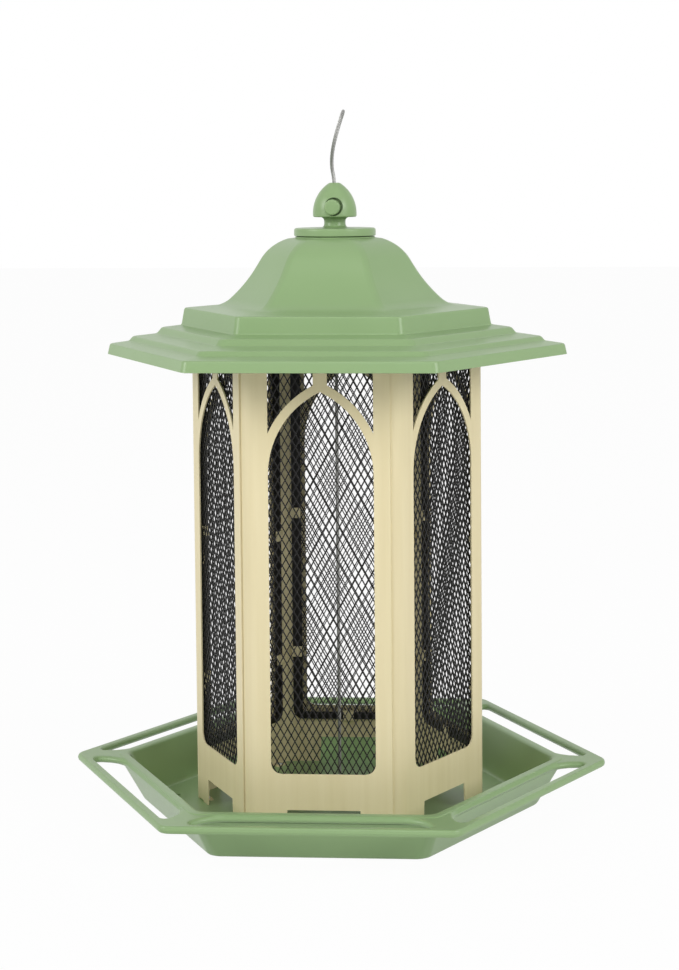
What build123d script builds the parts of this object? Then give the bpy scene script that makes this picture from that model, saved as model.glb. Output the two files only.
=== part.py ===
from build123d import *
import math
import os

os.makedirs("parts", exist_ok=True)

# Hexagonal bird feeder, standing on its tray: millimetres, +Z up, the front panel faces -Y
# and the hexagon's corners lie on the X axis.

# Cosine and tangent of half a hexagon's corner turn
COS30 = math.cos(math.radians(30.0))
TAN30 = math.tan(math.radians(30.0))

# Body of six panels
BODY_SIDE = 74.0            # one side of the hexagon of outer panel faces
PANEL_TOP = 249.8           # height of the panels' upper edge
SHEET = 0.8                 # panel sheet
BEND_RADIUS = 8.0           # outside radius of the corner bend
SEAM_SETBACK = 4.0          # free edge of a panel, back from the sharp corner
LAP_GAP = 0.05              # between lapped sheets
APOTHEM = BODY_SIDE * COS30

# Window, arch and feed notch of a panel
STILE = 12.0                # sheet beside the window, up to the sharp corner
WINDOW_SILL = 33.0          # height of the window's lower edge
WINDOW_CORNER = 5.0
ARCH_RISE = 39.5
ARCH_BAND = 4.3
BRIDGE_WIDTH = 6.7          # strip from the arch's tip to the top band
BRIDGE_LENGTH = 19.8
TOP_BAND = 9.8              # sheet above the spandrels
NOTCH_WIDTH = 35.0
NOTCH_TOP = 15.6
NOTCH_FLARE = 0.8           # each side, at the foot
WINDOW_WIDTH = BODY_SIDE - 2 * STILE
SPANDREL_TOP = PANEL_TOP - TOP_BAND
ARCH_RADIUS = (ARCH_RISE**2 + (WINDOW_WIDTH / 2) ** 2) / WINDOW_WIDTH
ARCH_CENTRE = ARCH_RADIUS - WINDOW_WIDTH / 2
BAND_RISE = math.sqrt((ARCH_RADIUS + ARCH_BAND) ** 2 - ARCH_CENTRE**2)
ARCH_SPRING = SPANDREL_TOP - BRIDGE_LENGTH - BAND_RISE

# Mesh screens, the tabs that hold them, and the corner flange between panel and screen
FLANGE = 7.5                # from the sharp corner to the flange's edge
SCREEN_THICK = 0.6
SCREEN_LAP = 8.4            # screen behind the panel, beside the window and below its sill
SCREEN_HEM = 3.6            # plain hem at the top
SCREEN_DROP = 3.8           # from the panels' upper edge to the screen's
MESH_PITCH_X = 6.2
MESH_PITCH_Z = 11.6
MESH_STRAND = 1.1
TAB_WIDTH = 5.5
TAB_LENGTH = 6.6            # from the outside of a tab's root to its end over the hem
TAB_GAP = 0.15              # from the screen's edge to a tab's root
LEFT_TABS = (26.0, 92.6)    # middles of the side tabs, above the sill
RIGHT_TABS = (29.5, 104.4)
SILL_TAB = 2.6              # middle of the tab below the sill, from the panel's middle
SCREEN_TOP = PANEL_TOP - SCREEN_DROP
SCREEN_FRONT = -APOTHEM + 2 * (SHEET + LAP_GAP)
SCREEN_BACK = SCREEN_FRONT + SCREEN_THICK

# Seed tray
FLOOR = 2.4
PAN_MARGIN = 22.9           # from the body's faces out to the pan's foot
PAN_FLARE = 12.5            # the pan wall's lean, from foot to rim
PERCH_REACH = 17.5          # from the rim's outside to the perch rail's
RIM_TOP = 24.3
RIM_WIDTH = 5.5
WALL = 2.6                  # pan wall at the floor, across
PAN_CORNER = 7.0
PAN_EDGE = 2.0              # rounding of the pan's lower and inner edges
RIM_EDGE = 1.6
RAIL_WIDTH = 6.5
RAIL_THICK = 3.2
RAIL_DROP = 0.9             # rail's top below the rim's
RAIL_CORNER = 7.0
RAIL_EDGE = 1.2
WEB_WIDTH = 13.5
SLOT_INNER_ROUND = 10.0
SLOT_OUTER_ROUND = 2.5
DRAIN_DIAMETER = 3.0
DRAIN_OUT = 9.0             # drain holes, outside the body's corners
PAN_BASE = APOTHEM + PAN_MARGIN
PAN_RIM = PAN_BASE + PAN_FLARE
RAIL_OUT = PAN_RIM + PERCH_REACH
RAIL_TOP = RIM_TOP - RAIL_DROP
RAIL_BOTTOM = RAIL_TOP - RAIL_THICK

# Foot tabs and rivets, beside the corner bend
FOOT_TAB_WIDTH = 6.5
FOOT_TAB_LENGTH = 4.5
FOOT_TAB_INSET = 1.4        # from the bend to the tab
RIVET_SHANK = 1.8
RIVET_HEAD = 3.2
RIVET_HEAD_HEIGHT = 0.6
RIVET_GAP = 0.05
RIVET_RECESS = 0.2          # countersunk head above the underside
NOTCH_SIDE = NOTCH_WIDTH / 2 + NOTCH_FLARE
BEND_START = BODY_SIDE / 2 - BEND_RADIUS * TAN30
FOOT_TAB_CENTRE = BEND_START - FOOT_TAB_INSET - FOOT_TAB_WIDTH / 2

# Cable and its anchor in the tray
CABLE_DIAMETER = 1.6
LEG_GAP = 0.3               # between the two legs
CABLE_GAP = 0.3             # round the legs in a slot
HUB_DIAMETER = 16.0
HUB_TOP = 6.4
HUB_RECESS = 13.0
HUB_RECESS_DEPTH = 4.2
WASHER_GAP = 0.5            # round the washer in its recess
WASHER_THICK = 1.0
STOP_LENGTH = 7.4
STOP_WIDTH = 4.6
STOP_BOTTOM = 0.6
LEG_SPACING = CABLE_DIAMETER + LEG_GAP
LEG = LEG_SPACING / 2
SLOT_WIDTH = CABLE_DIAMETER + 2 * CABLE_GAP
SLOT_LENGTH = LEG_SPACING + SLOT_WIDTH
WASHER_DIAMETER = HUB_RECESS - 2 * WASHER_GAP

# Roof: its top shelf lies on the panels, and each riser or shelf leads out and down from there
ROOF_WALL = 1.4
ROOF_FIT = 2.8              # top riser's corner radius over the body's
TOP_SHELF_WIDTH = 15.2      # at the corners, inwards to the bell's foot
TOP_SHELF_RISE = 1.1
ROOF_STEPS = [              # out at the corners, and down
    (1.6, 8.6),
    (10.0, 1.2),
    (2.6, 3.1),
    (12.2, 1.4),
    (1.8, 2.3),
    (9.8, 1.4),
    (1.2, 5.2),
]
STEP_ROUND = 0.9            # rounding of the steps' edges
ROOF_CORNER = 3.0           # plan rounding of the steps
BELL_CORNER = 7.0           # plan rounding of the bell
BELL_FOOT_SLOPE = 8.0       # degrees, where the bell leaves the top shelf
BELL_FOOT_RADIUS = 12.0
BELL_START_SLOPE = 46.0     # where the foot's curve leads into the long sweep
BELL_SWEEP_RADIUS = 70.0
BELL_SLOPE = 62.0
BELL_STRAIGHT = 4.4
SHOULDER_RADIUS = 21.5
SHOULDER_SLOPE = 8.0
FOOT_LEVELS = 4             # levels in the curve of the bell's foot
BELL_LEVELS = 6             # levels in each other curve of the bell
ROOF_HOLE = 11.0

# Cap lock
DISC_DIAMETER = 40.6
DISC_THICK = 4.2
DISC_EDGE = 1.2
SPIGOT_GAP = 0.3            # round the spigot in the roof's hole
SPIGOT_LENGTH = 4.0
NECK_DIAMETER = 10.6
NECK_HEIGHT = 5.4
NECK_ROUND = 2.4
HEAD_DIAMETER = 21.7
HEAD_EDGE = 0.8
HEAD_SKIRT = 2.0            # upright stretch of the head
HEAD_HEIGHT = 17.0
TIP_DIAMETER = 5.0
TIP_EDGE = 0.8
SPIGOT_DIAMETER = ROOF_HOLE - 2 * SPIGOT_GAP

# Lock button and spring
BUTTON_DIAMETER = 7.8
BUTTON_GAP = 0.06
BUTTON_PROUD = 2.2
BUTTON_TRAVEL = 2.2
BUTTON_DOME = 0.8
BUTTON_BACK = 1.35          # button behind its cable slot
MOUTH_GAP = 0.65            # round the button at the head's face
MOUTH_DEPTH = 1.6
MOUTH_SILL = 0.35           # head below the mouth
HEAD_BACK_WALL = 2.41       # head behind the spring
SPRING_WIRE = 0.6
SPRING_DIAMETER = 5.2       # at the middle of the wire
SPRING_TURNS = 3
SPRING_GAP = 0.02           # between the spring and its seats
QUARTERS = 4                # arcs in one turn of the spring
GAP_SAMPLES = 8             # points on each arc, where the spring's gaps are measured
HEAD_FRONT = HEAD_DIAMETER / 2
MOUTH_DIAMETER = BUTTON_DIAMETER + 2 * MOUTH_GAP
BUTTON_LIFT = MOUTH_SILL + MOUTH_DIAMETER / 2
BUTTON_REAR = SLOT_LENGTH / 2 + BUTTON_BACK
BORE_END = HEAD_FRONT - HEAD_BACK_WALL
SPRING_START = BUTTON_REAR + SPRING_GAP
SPRING_LENGTH = BORE_END - SPRING_GAP - SPRING_START

# Hanging loop
CABLE_JOIN = -7.3           # where the legs meet the loop, from the lock's tip
LOOP_ROUTE = [              # front half of the loop: across, out, and height over the lock's tip
    (0.0, LEG, CABLE_JOIN),
    (0.0, LEG, 1.2),
    (-1.5, 2.0, 8.2),
    (-0.9, 6.2, 16.2),
    (1.0, 9.3, 23.9),
    (3.0, 8.4, 30.5),
    (4.7, 3.6, 35.4),
]
LOOP_SWING = 0.114          # aside for each mm out, which turns the loop a little about the upright
RUN_SHARE = 0.45            # of the shorter run at a point, taken by the point's arc

PANEL_NAMES = ("front", "front_right", "back_right", "back", "back_left", "front_left")
STANDING = (Align.CENTER, Align.CENTER, Align.MIN)


def hexagon(apothem, corner, height):
    """A hexagon with rounded corners, lying at a height."""
    outline = RegularPolygon(apothem / COS30, 6)
    return Pos(0, 0, height) * fillet(outline.vertices(), corner)


def hexagon_stack(levels):
    """A solid through hexagons given as apothem, corner rounding and height."""
    return loft([hexagon(*level) for level in levels], ruled=True)


def six_turns(shape):
    """The six copies of a shape round the axis."""
    return [Rot(0, 0, 60 * turn) * shape for turn in range(6)]


def save(shape, node):
    """Write one node."""
    shape.label = node
    export_step(shape, f"parts/{node}.step")


def cable_slot(low, high):
    """The upright slot that the two cable legs pass through."""
    outline = SlotOverall(SLOT_LENGTH, SLOT_WIDTH, rotation=90)
    return Pos(0, 0, low) * extrude(outline, high - low)


def panel_section():
    """Plan of the front panel: face, corner bend and flange, as a closed face."""
    free_x = BODY_SIDE / 2 - SEAM_SETBACK
    behind = SHEET + LAP_GAP
    inward = Vector(COS30, 0.5)
    along = Vector(-0.5, COS30)
    corner = Vector(-BODY_SIDE / 2, -APOTHEM)
    bend = corner + Vector(behind / COS30, 0)
    tip = corner + along * FLANGE + inward * behind
    outer = FilletPolyline((free_x, -APOTHEM), bend, tip, radius=BEND_RADIUS)
    inner = FilletPolyline(
        (free_x, -APOTHEM + SHEET),
        bend + Vector(SHEET * TAN30, SHEET),
        tip + inward * SHEET,
        radius=BEND_RADIUS - SHEET,
    )
    ends = [Line(outer @ 0, inner @ 0), Line(outer @ 1, inner @ 1)]
    return make_face([*outer.edges(), *inner.edges(), *ends])


def pointed_arch(grow, sill):
    """Front view of the window, or of the arch's outside where grow is the band."""
    half = WINDOW_WIDTH / 2 + grow
    tip = math.sqrt((ARCH_RADIUS + grow) ** 2 - ARCH_CENTRE**2)
    left = RadiusArc((-half, ARCH_SPRING), (0, ARCH_SPRING + tip), ARCH_RADIUS + grow)
    right = RadiusArc((0, ARCH_SPRING + tip), (half, ARCH_SPRING), ARCH_RADIUS + grow)
    sides = Polyline((half, ARCH_SPRING), (half, sill), (-half, sill), (-half, ARCH_SPRING))
    return make_face([left, right, *sides.edges()])


def panel_openings():
    """Front view of all that is cut out of a panel."""
    window = pointed_arch(0, WINDOW_SILL)
    sill_corners = window.vertices().sort_by(Axis.Y)[:2]
    window = fillet(sill_corners, WINDOW_CORNER)
    top_height = SPANDREL_TOP - ARCH_SPRING
    top_block = Pos(0, ARCH_SPRING + top_height / 2) * Rectangle(WINDOW_WIDTH, top_height)
    bridge = Pos(0, ARCH_SPRING + top_height / 2) * Rectangle(BRIDGE_WIDTH, 2 * top_height)
    spandrels = top_block - pointed_arch(ARCH_BAND, WINDOW_SILL) - bridge
    half = NOTCH_WIDTH / 2
    notch_points = [(-half, NOTCH_TOP), (half, NOTCH_TOP), (NOTCH_SIDE, 0), (-NOTCH_SIDE, 0)]
    notch = make_face(Polyline(*notch_points, close=True))
    return window, spandrels, notch


def through_panel(sketch):
    """A front-view sketch as a cutter through the front panel's face."""
    standing = Plane.XZ.offset(APOTHEM - 3 * SHEET) * sketch
    return extrude(standing, 4 * SHEET, dir=(0, -1, 0))


def tab(depth):
    """A tab from its root, at a depth in the sheet beside the screen, folded over the screen's hem."""
    fold_front = SCREEN_BACK + LAP_GAP
    root_front = depth - APOTHEM
    root_depth = fold_front + SHEET - root_front
    root = Pos(SHEET / 2, root_front + root_depth / 2) * Box(SHEET, root_depth, TAB_WIDTH)
    fold = Pos(TAB_LENGTH / 2, fold_front + SHEET / 2) * Box(TAB_LENGTH, SHEET, TAB_WIDTH)
    return root + fold


def panel_tabs():
    """The front panel's tabs: on its left stile, below its sill, and on its flange behind the next panel."""
    reach = SCREEN_LAP + TAB_GAP + SHEET
    edge = WINDOW_WIDTH / 2 + reach
    tabs = [Pos(-edge, 0, WINDOW_SILL + height) * tab(SHEET + LAP_GAP) for height in LEFT_TABS]
    tabs.append(Pos(SILL_TAB, 0, WINDOW_SILL - reach) * Rot(0, -90, 0) * tab(SHEET / 2))
    flange_tab = Rot(0, 180, 0) * tab(1.5 * SHEET + LAP_GAP)
    tabs += [Rot(0, 0, -60) * Pos(edge, 0, WINDOW_SILL + height) * flange_tab for height in RIGHT_TABS]
    return tabs


def rivet_place():
    """The middle of the front panel's foot tab, on the ground."""
    return Pos(-FOOT_TAB_CENTRE, -APOTHEM + SHEET + FOOT_TAB_LENGTH / 2, 0)


def front_panel():
    """The front panel, its feet on the tray floor."""
    panel = Pos(0, 0, FLOOR) * extrude(panel_section(), PANEL_TOP - FLOOR)
    panel -= [through_panel(opening) for opening in panel_openings()]
    panel += panel_tabs()
    depth = FOOT_TAB_LENGTH + SHEET
    foot = Box(FOOT_TAB_WIDTH, depth, SHEET)
    panel += Pos(-FOOT_TAB_CENTRE, -APOTHEM + depth / 2, FLOOR + SHEET / 2) * foot
    hole = Cylinder(RIVET_SHANK / 2 + RIVET_GAP, 3 * SHEET)
    panel -= rivet_place() * Pos(0, 0, FLOOR) * hole
    return panel


def front_screen():
    """The mesh behind the front window: one holed face with a plain hem."""
    half = WINDOW_WIDTH / 2 + SCREEN_LAP
    low = WINDOW_SILL - SCREEN_LAP
    centre_z = (low + SCREEN_TOP) / 2
    sheet = Pos(0, centre_z) * Rectangle(2 * half, SCREEN_TOP - low)
    columns = int(WINDOW_WIDTH / MESH_PITCH_X)
    rows = int((SCREEN_TOP - SCREEN_HEM - WINDOW_SILL) / MESH_PITCH_Z)
    slope = math.hypot(MESH_PITCH_X, MESH_PITCH_Z)
    shrink = MESH_STRAND * slope / (MESH_PITCH_X * MESH_PITCH_Z)
    across = MESH_PITCH_X / 2 * (1 - shrink)
    upright = MESH_PITCH_Z / 2 * (1 - shrink)
    middle = (WINDOW_SILL + SCREEN_TOP - SCREEN_HEM) / 2
    gaps = []
    for step in range(2 * rows - 1):
        wide = columns - step % 2
        z = middle + (step - rows + 1) * MESH_PITCH_Z / 2
        for column in range(wide):
            x = (column - (wide - 1) / 2) * MESH_PITCH_X
            points = [(x - across, z), (x, z + upright), (x + across, z), (x, z - upright)]
            gaps.append(Wire.make_polygon(points, close=True))
    print("gaps in a screen", len(gaps))
    net = Face(sheet.wires()[0], gaps)
    return extrude(Plane.XZ.offset(-SCREEN_FRONT) * net, SCREEN_THICK, dir=(0, 1, 0))


def seed_tray():
    """Pan, rim, corner webs and perch rail in one moulding."""
    slope = (PAN_RIM - PAN_BASE) / RIM_TOP
    outside = hexagon_stack([(PAN_BASE, PAN_CORNER, 0), (PAN_RIM, PAN_CORNER, RIM_TOP)])
    outside = fillet(outside.edges().group_by(Axis.Z)[0], PAN_EDGE)
    inside_rim = PAN_RIM - RIM_WIDTH
    inside_floor = PAN_BASE + slope * FLOOR - WALL
    inside = hexagon_stack([(inside_floor, PAN_CORNER, FLOOR), (inside_rim, PAN_CORNER, RIM_TOP)])
    inside = fillet(inside.edges().group_by(Axis.Z)[0], PAN_EDGE)
    pan = outside - inside
    pan = fillet(pan.edges().group_by(Axis.Z)[-1], RIM_EDGE)
    plate = extrude(hexagon(RAIL_OUT, RAIL_CORNER, RAIL_BOTTOM), RAIL_TOP - RAIL_BOTTOM)
    rims = plate.edges().group_by(Axis.Z)
    plate = fillet(rims[0] + rims[-1], RAIL_EDGE)
    rim_at_rail = PAN_RIM - slope * (RIM_TOP - RAIL_BOTTOM)
    plate -= extrude(hexagon(rim_at_rail - RIM_EDGE, PAN_CORNER, 0), 2 * RIM_TOP)
    tray = pan + (plate - six_turns(perch_slot()))
    hub = Cylinder(HUB_DIAMETER / 2, HUB_TOP, align=STANDING)
    recess = Cylinder(HUB_RECESS / 2, 2 * HUB_RECESS_DEPTH)
    tray = tray + hub - recess - cable_slot(0, 2 * HUB_TOP)
    drain = Pos(BODY_SIDE + DRAIN_OUT, 0, 0) * Cylinder(DRAIN_DIAMETER / 2, 4 * FLOOR)
    head = RIVET_HEAD / 2 + RIVET_GAP
    shank = RIVET_SHANK / 2 + RIVET_GAP
    rivet_hole = Cylinder(shank, 4 * FLOOR)
    sink = Cone(head, shank, head - shank, align=STANDING)
    rivet_hole += Pos(0, 0, RIVET_RECESS) * sink + Cylinder(head, 2 * RIVET_RECESS)
    return tray - (six_turns(drain) + six_turns(rivet_place() * rivet_hole))


def perch_slot():
    """The front slot between the rim and the perch rail, through the plate."""
    inner = PAN_RIM
    outer = RAIL_OUT - RAIL_WIDTH
    web_side = WEB_WIDTH / 2 / COS30
    half_inner = inner * TAN30 - web_side
    half_outer = outer * TAN30 - web_side
    points = [(-half_inner, -inner), (half_inner, -inner), (half_outer, -outer), (-half_outer, -outer)]
    outline = make_face(Polyline(*points, close=True))
    corners = outline.vertices().group_by(Axis.Y)
    outline = fillet(corners[-1], SLOT_INNER_ROUND)
    outline = fillet(outline.vertices().group_by(Axis.Y)[0], SLOT_OUTER_ROUND)
    return Pos(0, 0, RAIL_BOTTOM - RAIL_TOP) * extrude(outline, 2 * RAIL_TOP)


def front_rivet():
    """Rivet through the front panel's foot tab and the tray floor."""
    shank_top = FLOOR + SHEET
    head = RIVET_HEAD / 2
    shank = RIVET_SHANK / 2
    rivet = Pos(0, 0, RIVET_RECESS) * Cylinder(shank, shank_top - RIVET_RECESS, align=STANDING)
    rivet += Pos(0, 0, RIVET_RECESS) * Cone(head, shank, head - shank, align=STANDING)
    rivet += Pos(0, 0, shank_top) * Cone(head, shank, RIVET_HEAD_HEIGHT, align=STANDING)
    return rivet_place() * rivet


def cable_legs():
    """The cable's two straight legs, from the stop up into the lock."""
    length = HEAD_TOP + CABLE_JOIN - STOP_BOTTOM
    leg = Cylinder(CABLE_DIAMETER / 2, length, align=STANDING)
    return [Pos(0, side * LEG, STOP_BOTTOM) * leg for side in (-1, 1)]


def cable_loop():
    """The hanging loop: straight runs joined by arcs as large as the runs allow."""
    front = []
    back = []
    for across, out, over in LOOP_ROUTE:
        aside = LOOP_SWING * (out - LEG)
        front.append(Vector(across + aside, -out, HEAD_TOP + over))
        back.append(Vector(across - aside, out, HEAD_TOP + over))
    points = front + back[::-1]
    radii = []
    for before, point, after in zip(points, points[1:], points[2:]):
        turn = math.radians((point - before).get_angle(after - point))
        shorter = min((point - before).length, (after - point).length)
        radii.append(RUN_SHARE * shorter / math.tan(turn / 2))
    print("loop radii", [round(radius, 1) for radius in radii])
    path = FilletPolyline(*points, radius=radii)
    section = Plane(points[0], z_dir=(0, 0, 1)) * Circle(CABLE_DIAMETER / 2)
    loop = sweep(section, path)
    expected = math.pi / 4 * CABLE_DIAMETER**2 * path.length
    print("loop length", round(path.length, 1), "volume share", round(loop.volume / expected, 4))
    return loop


def cable_washer():
    """Slotted washer under the hub, which spreads the cable's pull."""
    top = HUB_RECESS_DEPTH
    disc = Pos(0, 0, top - WASHER_THICK / 2) * Cylinder(WASHER_DIAMETER / 2, WASHER_THICK)
    return disc - cable_slot(0, 2 * top)


def cable_stop():
    """Sleeve crimped over both cable ends, under the washer."""
    top = HUB_RECESS_DEPTH - WASHER_THICK
    outline = SlotOverall(STOP_LENGTH, STOP_WIDTH, rotation=90)
    sleeve = Pos(0, 0, STOP_BOTTOM) * extrude(outline, top - STOP_BOTTOM)
    hole = Cylinder(CABLE_DIAMETER / 2, 4 * top)
    for side in (-1, 1):
        sleeve -= Pos(0, side * LEG) * hole
    return sleeve


def roof_corners():
    """Corner radius and height of each edge of the steps, from the eave to the bell's foot."""
    radius = BODY_SIDE + ROOF_FIT
    height = PANEL_TOP + ROOF_WALL
    corners = [(radius - TOP_SHELF_WIDTH, height + TOP_SHELF_RISE), (radius, height)]
    for out, down in ROOF_STEPS:
        radius += out
        height -= down
        corners.append((radius, height))
    return corners[::-1]


def roof_profile():
    """Corner radius, height and plan rounding of the roof's levels, from eave to crown."""
    corners = roof_corners()
    levels = [(*corners[0], ROOF_CORNER)]
    for before, point, after in zip(corners, corners[1:], corners[2:]):
        for other in (before, after):
            away = Vector(*other) - Vector(*point)
            near = Vector(*point) + away.normalized() * STEP_ROUND
            levels.append((near.X, near.Y, ROOF_CORNER))
    levels.append((*corners[-1], BELL_CORNER))
    return levels + bell_profile(*corners[-1])


def bell_profile(radius, height):
    """The bell from its foot up: two inward curves, a straight stretch and a round shoulder.

    Its plan rounding is at most a third of a level's corner radius.
    """
    levels = []
    stretches = [
        (BELL_FOOT_SLOPE, BELL_START_SLOPE, BELL_FOOT_RADIUS, FOOT_LEVELS),
        (BELL_START_SLOPE, BELL_SLOPE, BELL_SWEEP_RADIUS, BELL_LEVELS),
        (BELL_SLOPE, BELL_SLOPE, BELL_STRAIGHT, 1),
        (BELL_SLOPE, SHOULDER_SLOPE, SHOULDER_RADIUS, BELL_LEVELS),
    ]
    for start, end, size, steps in stretches:
        turn = math.radians(abs(end - start)) / steps
        chord = 2 * size * math.sin(turn / 2) if turn else size
        for step in range(steps):
            slope = math.radians(start + (end - start) * (step + 0.5) / steps)
            radius -= chord * math.cos(slope) / COS30
            height += chord * math.sin(slope)
            levels.append((radius, height, min(BELL_CORNER, radius / 3)))
    return levels


def offset_inward(levels):
    """The same levels one wall further in, for the roof's inside."""
    flat = [Vector(radius * COS30, height) for radius, height, corner in levels]
    normals = []
    for low, high in zip(flat, flat[1:]):
        run = (high - low).normalized()
        normals.append(Vector(-run.Y, run.X))
    inner = []
    for index, point in enumerate(flat):
        before = normals[max(index - 1, 0)]
        after = normals[min(index, len(normals) - 1)]
        middle = (before + after).normalized()
        moved = point + middle * (ROOF_WALL / middle.dot(after))
        inner.append((moved.X / COS30, moved.Y, levels[index][2]))
    return inner


# Heights that follow from the roof
ROOF_LEVELS = roof_profile()
EAVE = ROOF_LEVELS[0][1]
CROWN = ROOF_LEVELS[-1][1]
DISC_TOP = CROWN + DISC_THICK
HEAD_LOW = DISC_TOP + NECK_HEIGHT
HEAD_TOP = HEAD_LOW + HEAD_HEIGHT
BUTTON_Z = HEAD_LOW + BUTTON_LIFT


def roof_shell():
    """The roof as a shell of even wall, open below, with a hole at the crown."""
    outer = [(radius * COS30, corner, height) for radius, height, corner in ROOF_LEVELS]
    inner = [(radius * COS30, corner, height) for radius, height, corner in offset_inward(ROOF_LEVELS)]
    below = (inner[0][0], inner[0][1], EAVE - ROOF_WALL)
    shell = hexagon_stack(outer) - hexagon_stack([below, *inner])
    return shell - Pos(0, 0, CROWN) * Cylinder(ROOF_HOLE / 2, 8 * ROOF_WALL)


def along_y(radius, start, end):
    """A cylinder on the button's axis, from one depth to another."""
    length = end - start
    return Pos(0, start + length / 2, BUTTON_Z) * Rot(90, 0, 0) * Cylinder(radius, length)


def lock_blank():
    """The turned shape of the lock: spigot, disc, neck and pointed head."""
    spigot = SPIGOT_DIAMETER / 2
    disc = DISC_DIAMETER / 2
    neck = NECK_DIAMETER / 2
    head = HEAD_FRONT
    tip = TIP_DIAMETER / 2
    skirt_top = HEAD_LOW + HEAD_SKIRT
    narrowing = head - tip
    rise = HEAD_HEIGHT - HEAD_SKIRT
    ogive = (narrowing**2 + rise**2) / (2 * narrowing)
    lower = Polyline(
        (0, CROWN - SPIGOT_LENGTH), (spigot, CROWN - SPIGOT_LENGTH), (spigot, CROWN), (disc, CROWN),
        (disc, DISC_TOP), (neck, DISC_TOP), (neck, HEAD_LOW), (head, HEAD_LOW), (head, skirt_top),
    )
    side = RadiusArc((head, skirt_top), (tip, HEAD_TOP), -ogive)
    close = Polyline((tip, HEAD_TOP), (0, HEAD_TOP), (0, CROWN - SPIGOT_LENGTH))
    section = make_face([*lower.edges(), side, *close.edges()])
    blank = revolve(Plane.XZ * section, Axis.Z)
    for height, radius, rounding in (
        (CROWN, disc, DISC_EDGE),
        (DISC_TOP, disc, DISC_EDGE),
        (DISC_TOP, neck, NECK_ROUND),
        (HEAD_LOW, neck, NECK_ROUND),
        (HEAD_LOW, head, HEAD_EDGE),
        (HEAD_TOP, tip, TIP_EDGE),
    ):
        rims = blank.edges().filter_by(GeomType.CIRCLE)
        rim = rims.filter_by(lambda edge: abs(edge.radius - radius) + abs(edge.arc_center.Z - height) < 0.01)
        blank = fillet(rim, rounding)
    return blank


def lock_body():
    """The lock with its cable slot and the button's bore and mouth."""
    blank = lock_blank()
    blank -= cable_slot(CROWN - 2 * SPIGOT_LENGTH, HEAD_TOP + SPIGOT_LENGTH)
    blank -= along_y(BUTTON_DIAMETER / 2 + BUTTON_GAP, -2 * HEAD_FRONT, BORE_END)
    return blank - along_y(MOUTH_DIAMETER / 2, -2 * HEAD_FRONT, MOUTH_DEPTH - HEAD_FRONT)


def lock_button():
    """Plunger with an upright slot, in which the cable stands as the button travels."""
    front = -HEAD_FRONT - BUTTON_PROUD
    button = along_y(BUTTON_DIAMETER / 2, front, BUTTON_REAR)
    button = fillet(button.edges().group_by(Axis.Y)[0], BUTTON_DOME)
    slot = SlotOverall(SLOT_LENGTH + BUTTON_TRAVEL, SLOT_WIDTH, rotation=90)
    cutter = extrude(Pos(0, -BUTTON_TRAVEL / 2, HEAD_LOW) * slot, HEAD_HEIGHT)
    return button - cutter


def lock_spring():
    """Coil spring behind the button, as a chain of quarter-turn arcs."""
    radius = SPRING_DIAMETER / 2
    first = SPRING_START + SPRING_WIRE / 2
    climb = SPRING_LENGTH - SPRING_WIRE
    count = SPRING_TURNS * QUARTERS
    points = []
    for step in range(count + 1):
        angle = 2 * math.pi * step / QUARTERS
        y = first + climb * step / count
        points.append(Vector(radius * math.cos(angle), y, BUTTON_Z + radius * math.sin(angle)))
    heading = Vector(0, climb / SPRING_TURNS, 2 * math.pi * radius)
    arcs = []
    for start, end in zip(points, points[1:]):
        arcs.append(TangentArc(start, end, tangent=heading))
        heading = arcs[-1] % 1
    section = Plane(points[0], z_dir=arcs[0] % 0) * Circle(SPRING_WIRE / 2)
    spring = sweep(section, Wire(arcs))
    samples = [arc @ (part / GAP_SAMPLES) for arc in arcs for part in range(GAP_SAMPLES)]
    apart = GAP_SAMPLES * QUARTERS // 2
    pairs = [(a, b) for index, a in enumerate(samples) for b in samples[index + apart:]]
    least = min((a - b).length for a, b in pairs) - SPRING_WIRE
    length = sum(arc.length for arc in arcs)
    share = spring.volume / (math.pi / 4 * SPRING_WIRE**2 * length)
    print("spring least gap", round(least, 2), "volume share", round(share, 4))
    return spring


for node_index, panel in enumerate(six_turns(front_panel())):
    save(panel, f"panel_{PANEL_NAMES[node_index]}")
for node_index, screen in enumerate(six_turns(front_screen())):
    save(screen, f"screen_{PANEL_NAMES[node_index]}")
save(seed_tray(), "seed_tray")
save(Compound(six_turns(front_rivet())), "panel_rivets")
save(Compound(cable_legs()), "cable_legs")
save(cable_loop(), "cable_loop")
save(cable_washer(), "cable_washer")
save(cable_stop(), "cable_stop")
save(roof_shell(), "roof_shell")
save(lock_body(), "lock_body")
save(lock_button(), "lock_button")
save(lock_spring(), "lock_spring")
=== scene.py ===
import math

import bpy
from mathutils import Matrix, Vector


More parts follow.
